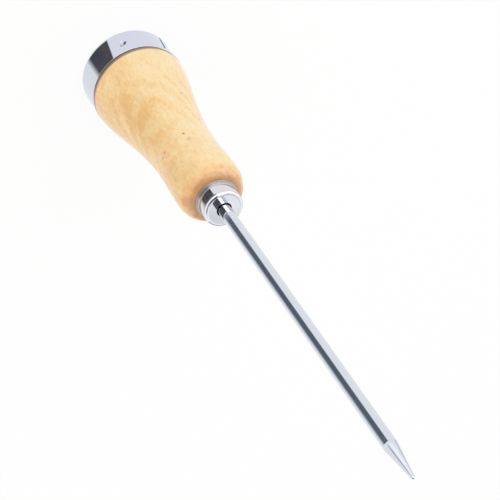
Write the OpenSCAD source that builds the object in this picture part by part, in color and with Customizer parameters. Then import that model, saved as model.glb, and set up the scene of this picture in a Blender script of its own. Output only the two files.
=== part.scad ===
// Scratch awl, a marking-out tool: a turned hardwood handle with a steel
// striking cap on its butt, a flanged steel ferrule on its nose and a round
// steel blade with a conical point.
// Millimetres. The axis of the tool is +Z. The flat face of the striking cap
// lies on z = 0 and the point is at the top.

/* [Striking cap] */
// outer diameter of the cap
cap_d = 36; // [30:0.5:42]
// height of the cap, from the struck face to its open edge
cap_h = 13.5; // [10:0.5:18]
// thickness of the cylindrical wall
cap_wall = 0.9; // [0.6:0.1:1.5]
// thickness of the struck face
cap_floor = 1.4; // [1:0.1:3]
// radius of the rounded edge around the struck face
cap_edge = 2.0; // [1:0.1:4]
// bevel in the inside corner between the wall and the floor of the cap
cap_bevel = 0.5; // [0.3:0.1:1]
// width of the punched dimples that stake the cap to the wood
dimple_w = 3.0; // [2:0.1:5]
// depth of the punched dimples
dimple_depth = 0.6; // [0.3:0.05:1]
// height of the dimples above the struck face
dimple_z = 7.8; // [5:0.1:10]
// direction of the first dimple around the axis; the second is opposite
dimple_angle = 255; // [0:1:359]

/* [Handle] */
// radius of the wood where it meets the cap
belly_r = 18.2; // [16:0.1:20]
// height of the steepest part of the taper
flank_z = 35; // [30:0.5:42]
// radius at the steepest part of the taper
flank_r = 14.9; // [13:0.1:17]
// slope of the steepest part of the taper
flank_slope = -0.19; // [-0.3:0.01:-0.1]
// height of the narrowest part, the grip
waist_z = 63; // [55:0.5:70]
// radius of the narrowest part
waist_r = 11.85; // [10:0.05:14]
// height of the widest part of the nose
swell_z = 81; // [76:0.5:86]
// radius of the widest part of the nose
swell_r = 12.4; // [11:0.05:15]
// height at which the wood ends, against the ferrule flange
nose_z = 88.8; // [86:0.1:93]
// gap left between the wood and the open edge of the cap
seam = 0.5; // [0.1:0.05:0.8]

/* [Ferrule] */
// diameter of the ferrule body
ferrule_d = 14.6; // [12:0.1:18]
// diameter of the flange pressed against the wood
flange_d = 15.7; // [14:0.1:20]
// thickness of the flange
flange_t = 0.8; // [0.4:0.1:1.2]
// height of the ferrule face above the struck face
face_z = 96.1; // [94:0.1:100]
// radius of the rounded front edge of the ferrule
ferrule_edge = 1.3; // [0.4:0.1:1.5]
// wall thickness of the ferrule
ferrule_wall = 0.8; // [0.5:0.1:1.2]
// clearance around the shank in the ferrule face
shank_gap = 0.4; // [0.1:0.05:0.5]
// depth to which the wood behind the ferrule face is opened to that width
mouth = 2.5; // [1:0.5:5]

/* [Blade] */
// diameter of the round shank
shank_d = 4.8; // [4:0.1:6.5]
// length of the blade from the ferrule face to the point
blade_l = 142; // [100:1:160]
// length of the conical point
point_l = 15; // [12:0.5:30]
// radius of the rounded end of the point
tip_r = 0.6; // [0.2:0.05:1]
// diameter of the round part of the blade that is held in the handle
held_d = 4.4; // [3.5:0.1:6.5]
// height above the ferrule face at which the shank has its full diameter
relief = 0.3; // [0.1:0.1:1]
// depth of the round shank below the ferrule face
shank_in = 14; // [8:0.5:25]
// depth of the end of the square tang below the ferrule face
tang_depth = 68; // [40:1:80]
// side of the square tang at its thick end
tang_root = 3.0; // [2.5:0.1:3.1]
// side of the square tang at its thin end
tang_end = 2.0; // [1.5:0.1:3]

/* [Hidden] */
$fn = 96;

cap_r = cap_d / 2;
body_r = ferrule_d / 2;
flange_r = flange_d / 2;
shank_r = shank_d / 2;
held_r = held_d / 2;
spigot_r = cap_r - cap_wall;
tenon_r = body_r - ferrule_wall;
tenon_z = face_z - ferrule_wall;
shoulder_z = cap_h + seam;
tang_z = face_z - tang_depth;
root_z = face_z - shank_in;

// the punch leaves a spherical hollow: its radius and the distance of its
// centre from the axis
punch_r = (pow(dimple_w / 2, 2) + pow(dimple_depth, 2)) / (2 * dimple_depth);
punch_x = cap_r - dimple_depth + punch_r;

// radius on a smooth curve between two places, from the height, radius and
// slope at each of them
function blend(a, b, u) =
    (2 * pow(u, 3) - 3 * pow(u, 2) + 1) * a[1]
    + (pow(u, 3) - 2 * pow(u, 2) + u) * (b[0] - a[0]) * a[2]
    + (3 * pow(u, 2) - 2 * pow(u, 3)) * b[1]
    + (pow(u, 3) - pow(u, 2)) * (b[0] - a[0]) * b[2];

// the curve itself as points of radius and height, without its last point
function curve(a, b, n) =
    [for (i = [0 : n - 1]) [blend(a, b, i / n), a[0] + (b[0] - a[0]) * i / n]];

belly = [shoulder_z, belly_r, -0.06];
flank = [flank_z, flank_r, flank_slope];
waist = [waist_z, waist_r, 0];
swell = [swell_z, swell_r, 0];

// the rounded nose, a quarter of an ellipse from the swell to the flange
nose = [for (i = [0 : 10])
    [flange_r + (swell_r - flange_r) * cos(i * 9),
     swell_z + (nose_z - swell_z) * sin(i * 9)]];

// outline of the turned wood, from the bottom of the rear spigot to the end
// of the tenon
wood_outline = concat(
    [[0, cap_floor], [spigot_r - cap_bevel, cap_floor],
     [spigot_r, cap_floor + cap_bevel],
     [spigot_r, shoulder_z], [belly_r - 0.4, shoulder_z]],
    curve([shoulder_z + 0.4, belly_r, -0.06], flank, 8),
    curve(flank, waist, 8),
    curve(waist, swell, 5),
    nose,
    [[tenon_r, nose_z], [tenon_r, tenon_z], [0, tenon_z]]);

// bar with a square section that changes evenly from one side to another
module square_taper(z0, side0, z1, side1) {
    intersection() {
        rotate([90, 0, 0])
            linear_extrude(height = 20, center = true)
                polygon([[-side0 / 2, z0], [side0 / 2, z0],
                         [side1 / 2, z1], [-side1 / 2, z1]]);
        rotate([90, 0, 90])
            linear_extrude(height = 20, center = true)
                polygon([[-side0 / 2, z0], [side0 / 2, z0],
                         [side1 / 2, z1], [-side1 / 2, z1]]);
    }
}

// the tang and the socket burnt for it share this shape
module tang_shape() {
    square_taper(tang_z, tang_end, root_z, tang_root);
}

// one ball on each side of the cap, for the punch mark and what it displaces
module punch_balls(r) {
    for (turn = [0, 180])
        rotate([0, 0, dimple_angle + turn])
            translate([punch_x, 0, dimple_z])
                sphere(r = r);
}

module handle() {
    color("burlywood")
    difference() {
        rotate_extrude() polygon(wood_outline);
        // round bore for the held part of the blade, and its wider mouth
        translate([0, 0, root_z])
            cylinder(r = held_r, h = shank_in + 1);
        translate([0, 0, tenon_z - mouth])
            cylinder(r = shank_r + shank_gap, h = mouth + 1);
        tang_shape();
        // hollows under the punch marks of the cap
        punch_balls(punch_r + cap_wall);
    }
}

module blade() {
    tip_z = face_z + blade_l;
    point_z = tip_z - point_l;
    color("silver")
    union() {
        translate([0, 0, root_z])
            rotate_extrude()
                polygon(concat(
                    [[0, 0], [held_r, 0], [held_r, shank_in + relief],
                     [shank_r, shank_in + relief],
                     [shank_r, point_z - root_z]],
                    // straight flank of the point, then its rounded end
                    [for (a = [0 : 18 : 90])
                        [tip_r * cos(a),
                         tip_z - root_z - tip_r * (1 - sin(a))]]));
        tang_shape();
    }
}

module ferrule() {
    color("gainsboro")
    rotate_extrude()
        polygon(concat(
            [[tenon_r, nose_z], [flange_r, nose_z],
             [flange_r, nose_z + flange_t], [body_r, nose_z + flange_t],
             [body_r, face_z - ferrule_edge]],
            [for (a = [15 : 15 : 90])
                [body_r - ferrule_edge * (1 - cos(a)),
                 face_z - ferrule_edge * (1 - sin(a))]],
            [[shank_r + shank_gap, face_z],
             [shank_r + shank_gap, tenon_z], [tenon_r, tenon_z]]));
}

module striking_cap() {
    color("silver")
    difference() {
        union() {
            rotate_extrude()
                polygon(concat(
                    [[0, 0]],
                    [for (a = [0 : 15 : 90])
                        [cap_r - cap_edge * (1 - sin(a)),
                         cap_edge * (1 - cos(a))]],
                    [[cap_r, cap_h], [spigot_r, cap_h],
                     [spigot_r, cap_floor + cap_bevel],
                     [spigot_r - cap_bevel, cap_floor], [0, cap_floor]]));
            // metal pushed inwards by the punch
            intersection() {
                punch_balls(punch_r + cap_wall);
                translate([0, 0, cap_floor + cap_bevel])
                    cylinder(r = cap_r - cap_wall / 2,
                             h = cap_h - cap_floor - cap_bevel);
            }
        }
        punch_balls(punch_r);
    }
}

handle();
blade();
ferrule();
striking_cap();
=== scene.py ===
# Looks of the scratch awl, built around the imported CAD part.
# Lengths in this script are millimetres until they reach a mesh or a light,
# where the helper functions turn them into metres.

import math

import bmesh
import bpy
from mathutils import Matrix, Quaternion, Vector


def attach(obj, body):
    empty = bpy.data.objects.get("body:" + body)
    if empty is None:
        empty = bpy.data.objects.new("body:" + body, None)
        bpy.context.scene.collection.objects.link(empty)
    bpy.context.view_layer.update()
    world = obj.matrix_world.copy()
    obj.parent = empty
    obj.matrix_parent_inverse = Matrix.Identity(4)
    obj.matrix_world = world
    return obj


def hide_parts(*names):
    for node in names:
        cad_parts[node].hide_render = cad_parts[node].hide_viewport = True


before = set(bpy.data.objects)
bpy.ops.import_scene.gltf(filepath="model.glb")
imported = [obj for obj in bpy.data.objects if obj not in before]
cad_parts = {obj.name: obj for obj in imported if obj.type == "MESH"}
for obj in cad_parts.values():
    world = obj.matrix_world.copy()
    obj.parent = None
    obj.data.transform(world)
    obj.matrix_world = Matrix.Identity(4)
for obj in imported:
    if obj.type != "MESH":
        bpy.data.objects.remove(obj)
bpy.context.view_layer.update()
MM = 0.001

# ---------------------------------------------------------------- sizes, mm
# striking cap
CAP_R = 18.0
CAP_H = 13.5
CAP_WALL = 0.9
CAP_FLOOR = 1.4
CAP_BEVEL = 0.5
CAP_EDGE = 2.0
DIMPLE_W = 3.0
DIMPLE_DEPTH = 0.6
DIMPLE_Z = 7.8
DIMPLE_ANGLE = 255.0
# faint lip round a punch mark: its height, the place of its crest as a part
# of the mark's radius, and its width
LIP_HEIGHT = 0.05
LIP_PLACE = 1.12
LIP_WIDTH = 0.28

# handle
SEAM = 0.5
SHOULDER_EDGE = 0.45
SHOULDER_RISE = 0.5
BELLY_R = 18.2
FLANK_Z = 35.0
FLANK_R = 14.9
FLANK_SLOPE = -0.19
WAIST_Z = 63.0
WAIST_R = 11.85
SWELL_Z = 81.0
SWELL_R = 12.4
NOSE_Z = 88.8
MOUTH_DEPTH = 2.5

# ferrule
BODY_R = 7.3
FLANGE_R = 7.85
FLANGE_T = 0.8
FACE_Z = 96.1
FERRULE_EDGE = 1.3
FERRULE_WALL = 0.8
FACE_DISH = 0.15

# blade
SHANK_R = 2.4
HELD_R = 2.2
HOLE_R = 2.8
TIP_Z = FACE_Z + 142.0
POINT_Z = TIP_Z - 15.0
TIP_R = 0.6
RELIEF = 0.3
WORN = 0.6
ROOT_Z = FACE_Z - 14.0
TANG_Z = FACE_Z - 68.0
TANG_ROOT = 1.5
TANG_END = 1.0

SPIGOT_R = CAP_R - CAP_WALL
TENON_R = BODY_R - FERRULE_WALL
TENON_Z = FACE_Z - FERRULE_WALL
SHOULDER_Z = CAP_H + SEAM

# number of faces round each piece
CAP_SIDES = 384
HANDLE_SIDES = 256
FERRULE_SIDES = 192
BLADE_SIDES = 96
# steps in the quarter ellipse of the nose and in the rounded tip
NOSE_STEPS = 24
TIP_STEPS = 6
# edges sharper than this are shaded as edges
SHARP = math.radians(35)

# -------------------------------------------------------- camera and lights
AIM = Vector((0.75, 0.0, 119.6))
DISTANCE = 653.3
ELEVATION = math.radians(46.0)
ROLL = math.radians(144.9)
LENS = 140.0
SENSOR = 36.0
CAM = Vector((
    0.0,
    AIM.y - DISTANCE * math.cos(ELEVATION),
    AIM.z + DISTANCE * math.sin(ELEVATION),
))

# area light: brightness, sides in metres, and where it stands
SOFTBOX = 1.8
SOFTBOX_SIDES = (0.40, 0.28)
SOFTBOX_TURN = math.radians(-44)
SOFTBOX_RISE = math.radians(48)
SOFTBOX_DISTANCE = 700
# surroundings: brightness over all, and how it falls off upwards
WORLD = 0.92
TENT = [(0.0, 1.32), (0.5, 1.32), (0.72, 0.97), (0.9, 0.88)]


def make_camera():
    data = bpy.data.cameras.new("camera")
    data.lens = LENS
    data.sensor_width = SENSOR
    camera = bpy.data.objects.new("camera", data)
    bpy.context.scene.collection.objects.link(camera)
    camera.location = CAM * MM
    look = (AIM - CAM).to_track_quat("-Z", "Y")
    camera.rotation_mode = "QUATERNION"
    camera.rotation_quaternion = look @ Quaternion((0, 0, 1), ROLL)
    bpy.context.scene.camera = camera


# ------------------------------------------------------------ mesh building
def blend(a, b, u):
    """Radius on a smooth curve between two places, each (height, radius, slope)."""
    run = b[0] - a[0]
    return (
        (2 * u**3 - 3 * u**2 + 1) * a[1]
        + (u**3 - 2 * u**2 + u) * run * a[2]
        + (3 * u**2 - 2 * u**3) * b[1]
        + (u**3 - u**2) * run * b[2]
    )


def curve(a, b, step):
    """Points (radius, height) of that curve, without the last one."""
    count = max(2, round((b[0] - a[0]) / step))
    made = []
    for i in range(count):
        u = i / count
        made.append((blend(a, b, u), a[0] + (b[0] - a[0]) * u))
    return made


def rounded(corners, steps=6):
    """Outline points from corners (radius, height, fillet), with the corners rounded."""
    made = []
    for i, (r, z, fillet) in enumerate(corners):
        here = Vector((r, z))
        if fillet <= 0 or i == 0 or i == len(corners) - 1:
            made.append((r, z))
            continue
        before = (Vector(corners[i - 1][:2]) - here).normalized()
        after = (Vector(corners[i + 1][:2]) - here).normalized()
        half = before.angle(after) / 2
        start = here + before * fillet / math.tan(half)
        centre = here + (before + after).normalized() * fillet / math.sin(half)
        spoke = start - centre
        turn = (math.pi - 2 * half) * (1 if before.cross(after) < 0 else -1)
        for k in range(steps + 1):
            angle = turn * k / steps
            c, s = math.cos(angle), math.sin(angle)
            spun = Vector((spoke.x * c - spoke.y * s, spoke.x * s + spoke.y * c))
            made.append(tuple(centre + spun))
    return made


def densify(outline, step, low=-1e9, high=1e9):
    """Adds points so that no stretch between the two heights is longer than step."""
    made = [outline[0]]
    for a, b in zip(outline[:-1], outline[1:]):
        length = math.hypot(b[0] - a[0], b[1] - a[1])
        inside = low <= (a[1] + b[1]) / 2 <= high
        parts = max(1, math.ceil(length / step)) if inside else 1
        for k in range(1, parts + 1):
            u = k / parts
            made.append((a[0] + (b[0] - a[0]) * u, a[1] + (b[1] - a[1]) * u))
    return made


def spin(name, outline, count, node, closed=False):
    """Turns an outline of (radius, height) or (half side, height, "square") into a mesh."""
    bm = bmesh.new()
    rings = []
    for point in outline:
        r, z = point[0], point[1]
        if r < 1e-6:
            rings.append([bm.verts.new((0, 0, z * MM))])
            continue
        ring = []
        for k in range(count):
            angle = 2 * math.pi * k / count
            c, s = math.cos(angle), math.sin(angle)
            reach = r
            if len(point) == 3:
                reach = r / max(abs(c), abs(s))
            ring.append(bm.verts.new((reach * c * MM, reach * s * MM, z * MM)))
        rings.append(ring)
    pairs = list(zip(rings[:-1], rings[1:]))
    if closed:
        pairs.append((rings[-1], rings[0]))
    for a, b in pairs:
        for k in range(count):
            n = (k + 1) % count
            if len(a) == 1:
                bm.faces.new((a[0], b[n], b[k]))
            elif len(b) == 1:
                bm.faces.new((a[k], a[n], b[0]))
            else:
                bm.faces.new((a[k], a[n], b[n], b[k]))
    bmesh.ops.recalc_face_normals(bm, faces=bm.faces)
    mesh = bpy.data.meshes.new(name)
    bm.to_mesh(mesh)
    bm.free()
    mesh.shade_smooth()
    mesh.set_sharp_from_angle(angle=SHARP)
    piece = bpy.data.objects.new(name, mesh)
    bpy.context.scene.collection.objects.link(piece)
    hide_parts(node)
    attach(piece, "root")
    return piece


def punch(piece):
    """Pushes the wall in at the two punch marks, and raises a faint lip round each."""
    half = DIMPLE_W / 2
    ball = (half**2 + DIMPLE_DEPTH**2) / (2 * DIMPLE_DEPTH)
    for turn in (0.0, 180.0):
        angle = math.radians(DIMPLE_ANGLE + turn)
        out = Vector((math.cos(angle), math.sin(angle), 0))
        centre = out * CAP_R + Vector((0, 0, DIMPLE_Z))
        for v in piece.data.vertices:
            p = v.co / MM
            radial = Vector((p.x, p.y, 0))
            # only the wall of the cap and the wood right behind it move
            if radial.length < SPIGOT_R - 0.5 or radial.dot(out) < 0:
                continue
            sideways = math.hypot((radial.normalized() - out).length * CAP_R, p.z - centre.z)
            if sideways < half:
                depth = math.sqrt(ball**2 - sideways**2) - (ball - DIMPLE_DEPTH)
            else:
                depth = 0.0
            lip = LIP_HEIGHT * math.exp(-(((sideways - half * LIP_PLACE) / LIP_WIDTH) ** 2))
            v.co -= radial.normalized() * (depth - lip) * MM


# places on the outline of the wood: height, radius, slope
BELLY = (SHOULDER_Z + SHOULDER_RISE, BELLY_R, -0.06)
FLANK = (FLANK_Z, FLANK_R, FLANK_SLOPE)
WAIST = (WAIST_Z, WAIST_R, 0.0)
SWELL = (SWELL_Z, SWELL_R, 0.0)


def wood_radius(z):
    """Radius of the wood at that height, between the cap and the ferrule."""
    for a, b in ((BELLY, FLANK), (FLANK, WAIST), (WAIST, SWELL)):
        if z <= b[0]:
            return blend(a, b, max(0.0, (z - a[0]) / (b[0] - a[0])))
    rise = (z - SWELL_Z) / (NOSE_Z - SWELL_Z)
    return FLANGE_R + (SWELL_R - FLANGE_R) * math.sqrt(max(0.0, 1 - rise**2))


def make_handle():
    spigot = rounded([
        (0, CAP_FLOOR, 0), (SPIGOT_R, CAP_FLOOR, CAP_BEVEL), (SPIGOT_R, SHOULDER_Z, 0.0),
        (BELLY_R, SHOULDER_Z, SHOULDER_EDGE), (BELLY_R, SHOULDER_Z + SHOULDER_RISE, 0),
    ])
    # the curve of the belly starts where the spigot's last point would be
    outline = densify(spigot[:-1], 0.4, CAP_FLOOR + CAP_BEVEL, CAP_H)
    outline += curve(BELLY, FLANK, 0.5)
    outline += curve(FLANK, WAIST, 0.6)
    outline += curve(WAIST, SWELL, 0.6)
    for k in range(NOSE_STEPS + 1):
        angle = math.radians(90 * k / NOSE_STEPS)
        outline.append((
            FLANGE_R + (SWELL_R - FLANGE_R) * math.cos(angle),
            SWELL_Z + (NOSE_Z - SWELL_Z) * math.sin(angle),
        ))
    # tenon, mouth round the shank, bore and square socket
    mouth_z = TENON_Z - MOUTH_DEPTH
    outline += [(TENON_R, NOSE_Z), (TENON_R, TENON_Z), (HOLE_R, TENON_Z),
                (HOLE_R, mouth_z), (HELD_R, mouth_z), (HELD_R, ROOT_Z)]
    outline += [(TANG_ROOT, ROOT_Z, "square"), (TANG_END, TANG_Z, "square"), (0, TANG_Z)]
    piece = spin("turned_handle", outline, HANDLE_SIDES, "handle")
    punch(piece)
    return piece


# painted dark reflection in a punch mark: turn in degrees and height in mm
# from its centre, radius, strength
PUNCH_SHADE = [
    (-3.4, 0.1, 0.80, 0.90),
    (-2.3, 0.75, 0.95, 0.95),
    (-1.3, 1.4, 0.80, 0.75),
    (2.6, 1.6, 1.0, 0.35),
]
# the painted dark spots lie this far below the surface of the cap
PUNCH_SHADE_DEPTH = 0.4


def punch_shade_places():
    """Places (x, y, z, radius, strength) of the painted dark reflections in both punch marks."""
    out = CAP_R - PUNCH_SHADE_DEPTH
    places = []
    for side in (0.0, 180.0):
        for turn, rise, radius, strength in PUNCH_SHADE:
            angle = math.radians(DIMPLE_ANGLE + turn + side)
            x, y = out * math.cos(angle), out * math.sin(angle)
            places.append((x, y, DIMPLE_Z + rise, radius, strength))
    return places


def make_cap():
    outline = rounded(
        [(0, 0, 0), (CAP_R, 0, CAP_EDGE), (CAP_R, CAP_H, 0.12), (SPIGOT_R, CAP_H, 0.12),
         (SPIGOT_R, CAP_FLOOR, CAP_BEVEL), (0, CAP_FLOOR, 0)],
        steps=10,
    )
    # short steps give the punch marks their shape
    outline = densify(outline, 0.28, CAP_EDGE, CAP_H)
    piece = spin("plated_cap", outline, CAP_SIDES, "striking_cap")
    punch(piece)
    return piece


def make_ferrule():
    # the closed outline starts and ends on the inner wall
    middle = (NOSE_Z + FACE_Z) / 2
    outline = rounded(
        [(TENON_R, middle, 0), (TENON_R, NOSE_Z, 0),
         (FLANGE_R, NOSE_Z, 0.03), (FLANGE_R, NOSE_Z + FLANGE_T, 0.10),
         (BODY_R, NOSE_Z + FLANGE_T, 0.04), (BODY_R, FACE_Z, FERRULE_EDGE),
         (HOLE_R, FACE_Z - FACE_DISH, 0.12), (HOLE_R, TENON_Z, 0), (TENON_R, TENON_Z, 0),
         (TENON_R, middle + 0.5, 0)],
        steps=10,
    )
    # short steps keep the straight parts straight in reflections
    outline = densify(outline, 0.15, NOSE_Z, FACE_Z)
    return spin("plated_ferrule", outline, FERRULE_SIDES, "ferrule", closed=True)


def make_blade():
    outline = [(0, TANG_Z), (TANG_END, TANG_Z, "square"), (TANG_ROOT, ROOT_Z, "square"),
               (HELD_R, ROOT_Z), (HELD_R, FACE_Z + RELIEF - 0.05), (SHANK_R, FACE_Z + RELIEF)]
    outline += densify([(SHANK_R, FACE_Z + RELIEF), (SHANK_R, POINT_Z - WORN)], 4.0)[1:]
    # the edge between the rod and the ground point is slightly worn
    slope = (SHANK_R - TIP_R) / (TIP_Z - TIP_R - POINT_Z)
    for k in range(1, 6):
        u = k / 5
        outline.append((SHANK_R - slope * WORN * u**2, POINT_Z - WORN + 2 * WORN * u))
    flank = [(SHANK_R - slope * WORN, POINT_Z + WORN), (TIP_R, TIP_Z - TIP_R)]
    outline += densify(flank, 0.8)[1:]
    for k in range(1, TIP_STEPS):
        angle = math.radians(90 * k / TIP_STEPS)
        outline.append((TIP_R * math.cos(angle), TIP_Z - TIP_R + TIP_R * math.sin(angle)))
    outline.append((0, TIP_Z))
    return spin("steel_blade", outline, BLADE_SIDES, "blade")


# ---------------------------------------------------------------- materials
# colours of the wood, from the palest tone to the darkest
WOOD_TONES = [
    (0.22, (0.865, 0.69, 0.41)),
    (0.42, (0.87, 0.645, 0.33)),
    (0.58, (0.855, 0.575, 0.25)),
    (0.74, (0.80, 0.47, 0.175)),
]
FIBRE = (0.72, 0.42, 0.17)
PORE = (0.62, 0.34, 0.13)
END_GRAIN = (0.73, 0.37, 0.125)
# painted shade beside the ferrule
NOSE_SHADE = (0.36, 0.16, 0.07)
# painted shade in the seam at the cap
SEAM_SHADE = (0.17, 0.09, 0.035)
# painted shade on the spigot inside the cap
SPIGOT_SHADE = (0.06, 0.03, 0.02)
# painted shade in the mouth round the shank
MOUTH_SHADE = (0.075, 0.07, 0.07)
# painted dark reflections in the punch marks, and painted shade in the corner
# of the ferrule's flange, its tones from the flange upwards
MARK_SHADE = (0.035, 0.035, 0.05)
CORNER_SHADE_DARK = (0.07, 0.06, 0.06)
CORNER_SHADE_TONES = [
    (0.0, (0.37, 0.29, 0.235)),
    (0.25, (0.37, 0.32, 0.30)),
    (0.35, (0.34, 0.32, 0.33)),
    (0.55, (0.60, 0.575, 0.60)),
]
# knots and stains: turn from the front in degrees, height, radius, depth of
# colour, colour
BROWN = (0.30, 0.12, 0.05)
RUST = (0.62, 0.28, 0.12)
KNOTS = [
    (-17.9, 63.4, 0.75, 0.9, BROWN),
    (-20.5, 67.3, 1.5, 0.45, RUST),
    (28.3, 65.1, 0.8, 0.5, BROWN),
    (38.0, 65.8, 0.7, 0.45, BROWN),
    (34.0, 64.2, 1.6, 0.25, RUST),
    (-55.6, 40.0, 0.6, 0.45, BROWN),
    (63.5, 33.1, 0.7, 0.35, BROWN),
    (61.0, 87.0, 3.0, 0.8, RUST),
    (150.0, 48.0, 0.7, 0.7, BROWN),
    (205.0, 30.0, 1.3, 0.4, RUST),
    (118.0, 72.0, 0.6, 0.5, BROWN),
]


class Nodes:
    """A short way to write a node tree."""

    def __init__(self, name):
        self.material = bpy.data.materials.new(name)
        self.material.use_nodes = True
        self.tree = self.material.node_tree
        self.shader = self.tree.nodes["Principled BSDF"]

    def add(self, kind, **settings):
        node = self.tree.nodes.new(kind)
        for key, value in settings.items():
            setattr(node, key, value)
        return node

    def link(self, start, end):
        self.tree.links.new(start, end)

    def place(self, scale=(1, 1, 1), offset=(0, 0, 0), turn=(0, 0, 0)):
        """Object coordinates in millimetres, turned and scaled."""
        coordinates = self.add("ShaderNodeTexCoord")
        mapping = self.add("ShaderNodeMapping")
        mapping.inputs["Scale"].default_value = [s / MM for s in scale]
        mapping.inputs["Location"].default_value = offset
        mapping.inputs["Rotation"].default_value = [math.radians(a) for a in turn]
        self.link(coordinates.outputs["Object"], mapping.inputs["Vector"])
        return mapping.outputs["Vector"]

    def separate(self, where):
        """The X, Y and Z of a vector."""
        node = self.add("ShaderNodeSeparateXYZ")
        self.link(where, node.inputs["Vector"])
        return node.outputs["X"], node.outputs["Y"], node.outputs["Z"]

    def distance(self, where, place):
        """How far each point of the surface is from one place."""
        node = self.add("ShaderNodeVectorMath", operation="DISTANCE")
        self.link(where, node.inputs[0])
        node.inputs[1].default_value = place
        return node.outputs["Value"]

    def noise(self, where, scale, detail, roughness):
        node = self.add("ShaderNodeTexNoise")
        node.inputs["Scale"].default_value = scale
        node.inputs["Detail"].default_value = detail
        node.inputs["Roughness"].default_value = roughness
        self.link(where, node.inputs["Vector"])
        return node.outputs["Fac"]

    def remap(self, value, low, high, to_low=0.0, to_high=1.0, smooth=False):
        node = self.add("ShaderNodeMapRange")
        if smooth:
            node.interpolation_type = "SMOOTHSTEP"
        node.inputs["From Min"].default_value = low
        node.inputs["From Max"].default_value = high
        node.inputs["To Min"].default_value = to_low
        node.inputs["To Max"].default_value = to_high
        self.link(value, node.inputs["Value"])
        return node.outputs["Result"]

    def math(self, operation, a, b=None):
        node = self.add("ShaderNodeMath", operation=operation)
        for socket, value in zip(node.inputs, (a, b)):
            if value is None:
                continue
            if isinstance(value, (int, float)):
                socket.default_value = value
            else:
                self.link(value, socket)
        return node.outputs["Value"]

    def hypotenuse(self, a, b):
        squares = self.math("ADD", self.math("POWER", a, 2.0), self.math("POWER", b, 2.0))
        return self.math("SQRT", squares)

    def ramp(self, value, stops):
        node = self.add("ShaderNodeValToRGB")
        while len(node.color_ramp.elements) < len(stops):
            node.color_ramp.elements.new(0.5)
        for element, (at, colour) in zip(node.color_ramp.elements, stops):
            element.position = at
            element.color = (*colour, 1.0)
        self.link(value, node.inputs["Fac"])
        return node.outputs["Color"]

    def mix(self, amount, a, b):
        node = self.add("ShaderNodeMix", data_type="RGBA")
        for socket, value in ((node.inputs[0], amount), (node.inputs[6], a), (node.inputs[7], b)):
            if isinstance(value, (int, float)):
                socket.default_value = value
            elif isinstance(value, tuple):
                socket.default_value = (*value, 1.0)
            else:
                self.link(value, socket)
        return node.outputs[2]

    def bump(self, height, strength, distance):
        node = self.add("ShaderNodeBump")
        node.inputs["Strength"].default_value = strength
        node.inputs["Distance"].default_value = distance * MM
        self.link(height, node.inputs["Height"])
        self.link(node.outputs["Normal"], self.shader.inputs["Normal"])


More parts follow.
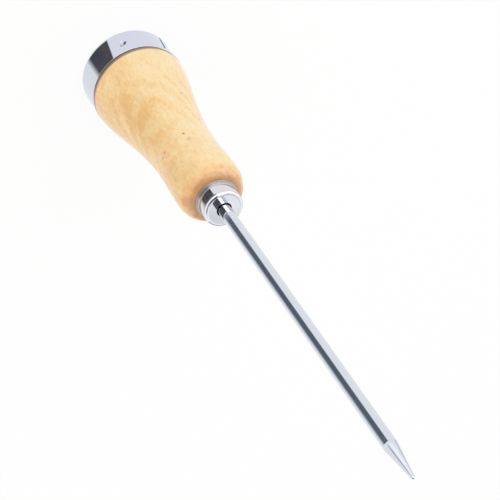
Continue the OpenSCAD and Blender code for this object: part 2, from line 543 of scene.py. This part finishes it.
def wood_material():
    m = Nodes("varnished_wood")
    plain = m.place()
    side, depth, height = m.separate(plain)
    reach = m.hypotenuse(side, depth)
    # growth rings: cylinders round a pith line that leans away from the axis
    ring_x, ring_y = m.separate(m.place(offset=(4, -26, 0), turn=(24, 3, 0)))[:2]
    warp = m.noise(m.place(scale=(1, 1, 0.5)), 0.09, 3.0, 0.55)
    from_pith = m.math("ADD", m.hypotenuse(ring_x, ring_y), m.math("MULTIPLY", warp, 7.0))
    rings = m.remap(m.math("SINE", m.math("MULTIPLY", from_pith, 1.7)), -0.7, 1.0, smooth=True)
    # they show most between the belly and the waist
    zone = m.math("MULTIPLY", m.remap(height, 22.0, 36.0, 0.25, 1.0, smooth=True),
                  m.remap(height, 46.0, 62.0, 1.0, 0.25, smooth=True))
    rings = m.math("MULTIPLY", rings, m.math("MULTIPLY", zone, 0.17))
    cloud = m.noise(m.place(scale=(1, 1, 0.7)), 0.11, 3.0, 0.6)
    mottle = m.noise(m.place(scale=(1, 1, 0.6)), 0.7, 4.0, 0.75)
    tone = m.math("ADD", rings, m.math("MULTIPLY", cloud, 0.5))
    tone = m.math("ADD", tone, m.math("MULTIPLY", mottle, 0.82))
    # painted light: paler on the side that faces the softbox, deeper orange on the other
    tone = m.math("ADD", tone, m.remap(side, -11.5, 10.5, -0.32, -0.03, smooth=True))
    colour = m.ramp(tone, WOOD_TONES)
    # fine fibres and short brown pores along the grain
    fibres = m.noise(m.place(scale=(1, 1, 0.10)), 2.4, 3.0, 0.6)
    colour = m.mix(m.remap(fibres, 0.5, 0.78, 0.0, 0.30), colour, FIBRE)
    pores = m.noise(m.place(scale=(1, 1, 0.45), offset=(40, 0, 0)), 1.0, 3.0, 0.6)
    colour = m.mix(m.remap(pores, 0.52, 0.74, 0.0, 0.34), colour, PORE)
    # end grain of the nose, with painted shade over it, darkest beside the ferrule
    ragged = m.math("MULTIPLY", m.noise(plain, 0.45, 5.0, 0.75), 7.0)
    end_grain = m.remap(m.math("ADD", height, ragged), 87.0, 92.2, 0.0, 0.95, smooth=True)
    colour = m.mix(end_grain, colour, END_GRAIN)
    # painted shade where the wood meets the ferrule
    less_ragged = m.math("ADD", height, m.math("MULTIPLY", ragged, 0.5))
    colour = m.mix(m.remap(less_ragged, 88.9, 91.2, 0.0, 0.75), colour, NOSE_SHADE)
    # painted shade in the seam where the wood meets the cap
    seam_shade_mask = m.remap(m.math("ADD", height, m.math("MULTIPLY", mottle, 0.4)),
                    SHOULDER_Z + 1.2, SHOULDER_Z + 2.4, 0.95, 0.0, smooth=True)
    colour = m.mix(seam_shade_mask, colour, SEAM_SHADE)
    # painted shade on the spigot inside the cap
    outside = m.remap(reach, SPIGOT_R - 0.2, SPIGOT_R + 0.6, 0.0, 1.0)
    below = m.math("LESS_THAN", height, SHOULDER_Z + 0.4)
    spigot_shade_mask = m.math("MULTIPLY", m.math("SUBTRACT", 1.0, outside), below)
    colour = m.mix(spigot_shade_mask, colour, SPIGOT_SHADE)
    for turn, z, radius, strength, dark in KNOTS:
        angle = math.radians(turn)
        r = wood_radius(z)
        away = m.distance(plain, (math.sin(angle) * r, -math.cos(angle) * r, z))
        ragged_edge = m.math("MULTIPLY", m.math("SUBTRACT", mottle, 0.5), radius * 1.6)
        near = m.math("ADD", away, ragged_edge)
        amount = m.remap(near, radius * 0.35, radius, strength, 0.0, smooth=True)
        colour = m.mix(amount, colour, dark)
    # painted shade in the mouth round the shank
    narrow = m.math("LESS_THAN", reach, HOLE_R + 0.2)
    mouth_shade_mask = m.math("MULTIPLY", narrow, m.math("GREATER_THAN", height, SWELL_Z - 1))
    colour = m.mix(mouth_shade_mask, colour, MOUTH_SHADE)
    m.link(colour, m.shader.inputs["Base Color"])
    m.link(m.remap(mottle, 0.3, 0.7, 0.36, 0.50), m.shader.inputs["Roughness"])
    m.shader.inputs["Coat Weight"].default_value = 0.7
    m.shader.inputs["Coat Roughness"].default_value = 0.16
    m.bump(m.math("ADD", fibres, m.math("MULTIPLY", cloud, 1.5)), 0.18, 0.06)
    return m.material


def chrome_material(name, colour, roughness, marks=(), corner=None):
    """Polished plating. marks are places of painted dark reflections (x, y, z, radius, strength),
    and corner is the height where a dull band of painted shade starts, just over a millimetre wide."""
    m = Nodes(name)
    m.shader.inputs["Metallic"].default_value = 1.0
    m.shader.inputs["Base Color"].default_value = (*colour, 1.0)
    shade = None
    # painted dark reflections in the punch marks
    for x, y, z, radius, strength in marks:
        away = m.distance(m.place(), (x, y, z))
        amount = m.remap(away, radius * 0.5, radius, strength, 0.0, smooth=True)
        shade = m.mix(amount, shade or colour, MARK_SHADE)
    # painted shade in the corner where the ferrule's body meets its flange
    if corner:
        height = m.separate(m.place())[2]
        amount = m.math("MULTIPLY", m.remap(height, corner, corner + 0.15, 0.65, 0.85),
                        m.remap(height, corner + 1.1, corner + 1.35, 1.0, 0.0, smooth=True))
        corner_shade_colour = m.ramp(m.remap(height, corner - 0.3, corner + 0.7), CORNER_SHADE_TONES)
        # the painted shade is darker at one place at the front of the band
        away = m.distance(m.place(), (0.33 * BODY_R, -0.94 * BODY_R, corner))
        corner_shade_colour = m.mix(m.remap(away, 1.6, 3.4, 0.9, 0.0, smooth=True), corner_shade_colour, CORNER_SHADE_DARK)
        shade = m.mix(amount, colour, corner_shade_colour)
        m.link(m.math("SUBTRACT", 1.0, amount), m.shader.inputs["Metallic"])
    if shade:
        m.link(shade, m.shader.inputs["Base Color"])
    smear = m.remap(m.noise(m.place(), 0.35, 4.0, 0.6), 0.3, 0.75, roughness * 0.6, roughness * 1.6)
    m.link(smear, m.shader.inputs["Roughness"])
    orange_peel = m.noise(m.place(), 1.1, 2.0, 0.5)
    m.bump(orange_peel, 0.05, 0.02)
    return m.material


# -------------------------------------------------------------------- stage
FLOOR_HALF = 6000
# height of the cards that lie over the floor
STRIP_Z = 0.2
RING_Z = 0.3
# distances of the standing cards from the tool
NEAR_CARD = 450
BACK_CARD = 700
FAR_CARD = 800
WHITE = (1.0, 1.0, 1.0)


def glow_material(name, colour, strength=1.0):
    """Light of one colour, which clears where a card's own cover value falls to nothing."""
    material = bpy.data.materials.new(name)
    material.use_nodes = True
    tree = material.node_tree
    tree.nodes.clear()
    out = tree.nodes.new("ShaderNodeOutputMaterial")
    glow = tree.nodes.new("ShaderNodeEmission")
    glow.inputs["Color"].default_value = (*colour, 1.0)
    glow.inputs["Strength"].default_value = strength
    clear = tree.nodes.new("ShaderNodeBsdfTransparent")
    cover = tree.nodes.new("ShaderNodeAttribute")
    cover.attribute_name = "cover"
    mix = tree.nodes.new("ShaderNodeMixShader")
    tree.links.new(cover.outputs["Fac"], mix.inputs[0])
    tree.links.new(clear.outputs["BSDF"], mix.inputs[1])
    tree.links.new(glow.outputs["Emission"], mix.inputs[2])
    tree.links.new(mix.outputs["Shader"], out.inputs["Surface"])
    return material


def card_material(name, dark, light, scale=90.0):
    """Uneven darkness, so that the card's reflection doesn't look flat."""
    material = glow_material(name, dark)
    tree = material.node_tree
    coordinates = tree.nodes.new("ShaderNodeTexCoord")
    noise = tree.nodes.new("ShaderNodeTexNoise")
    noise.inputs["Scale"].default_value = scale
    noise.inputs["Detail"].default_value = 2.0
    tree.links.new(coordinates.outputs["Object"], noise.inputs["Vector"])
    ramp = tree.nodes.new("ShaderNodeValToRGB")
    tree.links.new(noise.outputs["Fac"], ramp.inputs["Fac"])
    for element, (at, colour) in zip(ramp.color_ramp.elements, ((0.35, dark), (0.68, light))):
        element.position = at
        element.color = (*colour, 1.0)
    tree.links.new(ramp.outputs["Color"], tree.nodes["Emission"].inputs["Color"])
    return material


def stage_mesh(name, points, faces, material):
    mesh = bpy.data.meshes.new(name)
    mesh.from_pydata([Vector(p) * MM for p in points], [], faces)
    mesh.materials.append(material)
    piece = bpy.data.objects.new(name, mesh)
    bpy.context.scene.collection.objects.link(piece)
    return piece


def only_in_reflections(piece):
    piece.visible_camera = False
    piece.visible_diffuse = False
    piece.visible_shadow = False
    piece.visible_transmission = False
    piece.visible_volume_scatter = False


def mirrored_to(height, radius, turn, z):
    """Where the sight line that meets a cylinder at that place lands once it is reflected.
    turn is the angle round the axis from the camera's side, in degrees."""
    a = math.radians(turn)
    normal = Vector((math.sin(a), -math.cos(a), 0))
    place = normal * radius + Vector((0, 0, z))
    ray = (place - CAM).normalized()
    ray = ray - 2 * ray.dot(normal) * normal
    return place + ray * (height - z) / ray.z


def make_card(name, rows, material):
    """A card from rows of (place, cover) points, where cover runs from 0, clear, to 1,
    solid. Only reflections show it."""
    width = len(rows[0])
    points = [place for row in rows for place, cover in row]
    faces = []
    for i in range(len(rows) - 1):
        for k in range(width - 1):
            p = i * width + k
            faces.append((p, p + 1, p + 1 + width, p + width))
    card = stage_mesh(name, points, faces, material)
    cover = card.data.attributes.new("cover", "FLOAT", "POINT")
    cover.data.foreach_set("value", [cover for row in rows for place, cover in row])
    only_in_reflections(card)


def soft_steps(start, end, soft, count=8):
    """Steps (turn, cover) from start to end, clear at both ends and soft by so many degrees."""
    steps = [(start, 0.0)]
    for k in range(count + 1):
        u = k / count
        steps.append((start + soft[0] + (end - soft[1] - start - soft[0]) * u, 1.0))
    steps.append((end, 0.0))
    return steps


def card_strip(name, radius, heights, turns, material, soft=(0.5, 0.5), lean=(0.0, 0.0), fade=0.0):
    """A card just above the floor that a cylinder reflects as a band between two turns.
    lean moves the band's edges by so many degrees for each millimetre of height, and
    fade is how far past the last height the band goes on while it clears."""
    places = [(z, 1.0) for z in heights]
    if fade:
        places += [(heights[-1] + fade * k / 6, 1 - k / 6) for k in range(1, 7)]
    rows = []
    for z, whole in places:
        rise = z - heights[0]
        steps = soft_steps(turns[0] + lean[0] * rise, turns[1] + lean[1] * rise, soft)
        row = [(mirrored_to(STRIP_Z, radius, turn, z), cover * whole) for turn, cover in steps]
        rows.append(row)
    make_card(name, rows, material)


def arch_card(name, distance, turns, rises, material, soft=(2.0, 2.0)):
    """A card that stands round the tool, between two turns and two elevations."""
    rows = []
    for rise in spread(rises[0], rises[1], 7):
        out, up = math.cos(math.radians(rise)), math.sin(math.radians(rise))
        row = []
        for turn, cover in soft_steps(turns[0], turns[1], soft):
            a = math.radians(turn)
            across, towards = distance * out * math.sin(a), -distance * out * math.cos(a)
            row.append(((across, towards, FACE_Z + distance * up), cover))
        rows.append(row)
    make_card(name, rows, material)


def floor_card(name, radii, turns, material, soft):
    """A part of a flat ring that lies round the tool, just above the floor."""
    rows = []
    for radius, whole in ((radii[0], 0.0), (radii[0] * 1.05, 1.0), (radii[1], 1.0)):
        row = []
        for turn, cover in soft_steps(turns[0], turns[1], soft, 48):
            a = math.radians(turn)
            row.append(((radius * math.sin(a), -radius * math.cos(a), RING_Z), cover * whole))
        rows.append(row)
    make_card(name, rows, material)


def spread(low, high, count):
    """Evenly spaced numbers from low to high."""
    return [low + (high - low) * k / (count - 1) for k in range(count)]


def make_floor():
    m = Nodes("pale_floor")
    m.shader.inputs["Base Color"].default_value = (0.12, 0.12, 0.12, 1)
    m.shader.inputs["Roughness"].default_value = 1.0
    m.shader.inputs["Specular IOR Level"].default_value = 0.0
    m.shader.inputs["Emission Color"].default_value = (0.985, 0.99, 0.98, 1)
    m.shader.inputs["Emission Strength"].default_value = 0.88
    corners = [(-FLOOR_HALF, -FLOOR_HALF, 0), (FLOOR_HALF, -FLOOR_HALF, 0),
               (FLOOR_HALF, FLOOR_HALF, 0), (-FLOOR_HALF, FLOOR_HALF, 0)]
    stage_mesh("floor", corners, [(0, 1, 2, 3)], m.material)


def make_cards():
    """Dark and bright cards for the bright metal to reflect. Turns and rises are in
    degrees, and turns are counted from the camera's side."""
    dark = glow_material("dark_card", (0.120, 0.140, 0.175))
    warm = card_material("warm_dark_card", (0.068, 0.072, 0.095), (0.120, 0.098, 0.085))
    dim = card_material("dim_card", (0.070, 0.070, 0.090), (0.150, 0.135, 0.135))
    deep = card_material("deep_dark_card", (0.050, 0.056, 0.070), (0.110, 0.086, 0.076), 30.0)
    grey = glow_material("grey_card", (0.36, 0.37, 0.40))
    pale = glow_material("pale_card", (1.15, 1.17, 1.18))
    point = glow_material("point_card", WHITE, 1.25)
    bright = glow_material("bright_card", WHITE, 1.5)
    front = glow_material("front_card", WHITE, 1.7)
    window = glow_material("window_card", WHITE, 2.2)
    # bands along the cap, the ferrule and the shank
    card_strip("card_cap", CAP_R, spread(1.5, 14, 12), (-2.4, 35), warm,
               soft=(1, 7), lean=(0.5, 0), fade=9)
    card_strip("card_cap_line", CAP_R, spread(0.8, 11.5, 8), (-77.5, -72.5), dark,
               soft=(2, 2), lean=(0.65, 0.65))
    card_strip("card_ferrule", BODY_R, spread(70, 96, 12), (-1.5, 44), deep, soft=(2, 9))
    card_strip("card_shank", SHANK_R, spread(101.2, 240, 24), (-8, 50), dark, soft=(6, 22))
    # above and in front, for the ferrule's face, its rounded edge and the varnish
    arch_card("card_upper", NEAR_CARD, (-14, 76), (36, 88), dim)
    arch_card("card_upper_side", NEAR_CARD, (76, 116), (36, 54), dim)
    arch_card("card_window", FAR_CARD, (-122, -64), (4, 26), window)
    arch_card("card_front", FAR_CARD, (-96, 20), (9, 42), front, soft=(4, 4))
    # on the floor: the far ring, both sides of the point, and behind the cap
    floor_card("card_horizon", (1800, 2500), (-180, 180), bright, soft=(0, 0))
    floor_card("card_point_dark", (465, 565), (14, 46), grey, soft=(6, 8))
    floor_card("card_point_bright", (465, 565), (-62, 6), point, soft=(10, 6))
    floor_card("card_behind", (24, 330), (160, 202), grey, soft=(12, 12))
    # low at the left, and behind the tool
    arch_card("card_tick", 300, (-112, -101), (-16, 0), dim)
    arch_card("card_back_low", BACK_CARD, (135, 192), (-7, 20), grey, soft=(6, 6))
    arch_card("card_back_high", BACK_CARD, (140, 183), (38, 62), pale, soft=(5, 8))


def make_softbox():
    """A wide soft light above and to one side of the camera."""
    data = bpy.data.lights.new("softbox", "AREA")
    data.shape = "RECTANGLE"
    data.size, data.size_y = SOFTBOX_SIDES
    data.energy = math.pi * data.size * data.size_y * SOFTBOX
    data.color = (1.0, 0.99, 0.97)
    light = bpy.data.objects.new("softbox", data)
    bpy.context.scene.collection.objects.link(light)
    flat = math.cos(SOFTBOX_RISE)
    towards = Vector((
        flat * math.sin(SOFTBOX_TURN),
        -flat * math.cos(SOFTBOX_TURN),
        math.sin(SOFTBOX_RISE),
    ))
    light.location = (Vector((0, 0, FACE_Z)) + towards * SOFTBOX_DISTANCE) * MM
    light.rotation_mode = "QUATERNION"
    light.rotation_quaternion = (-towards).to_track_quat("-Z", "Y")


def make_world():
    """A pale tent, brightest low down."""
    world = bpy.data.worlds.new("studio")
    bpy.context.scene.world = world
    world.use_nodes = True
    tree = world.node_tree
    coordinates = tree.nodes.new("ShaderNodeTexCoord")
    split = tree.nodes.new("ShaderNodeSeparateXYZ")
    tent = tree.nodes.new("ShaderNodeValToRGB")
    tree.links.new(coordinates.outputs["Generated"], split.inputs["Vector"])
    tree.links.new(split.outputs["Z"], tent.inputs["Fac"])
    while len(tent.color_ramp.elements) < len(TENT):
        tent.color_ramp.elements.new(0.5)
    for element, (at, level) in zip(tent.color_ramp.elements, TENT):
        element.position = at
        element.color = (level * 0.975, level * 0.99, level, 1.0)
    background = tree.nodes["Background"]
    tree.links.new(tent.outputs["Color"], background.inputs["Color"])
    background.inputs["Strength"].default_value = WORLD


make_camera()
handle = make_handle()
cap = make_cap()
ferrule = make_ferrule()
blade = make_blade()
handle.data.materials.append(wood_material())
# the cap carries painted dark reflections in its punch marks
cap.data.materials.append(chrome_material(
    "plated_steel_cap", (0.66, 0.69, 0.79), 0.08, marks=punch_shade_places()))
# the ferrule carries painted shade in the corner over its flange
ferrule.data.materials.append(chrome_material(
    "plated_steel_ferrule", (0.705, 0.715, 0.755), 0.055, corner=NOSE_Z + FLANGE_T))
blade.data.materials.append(chrome_material("polished_steel", (0.69, 0.72, 0.80), 0.08))
make_floor()
make_cards()
make_softbox()
make_world()
bpy.context.scene.view_settings.view_transform = "Standard"
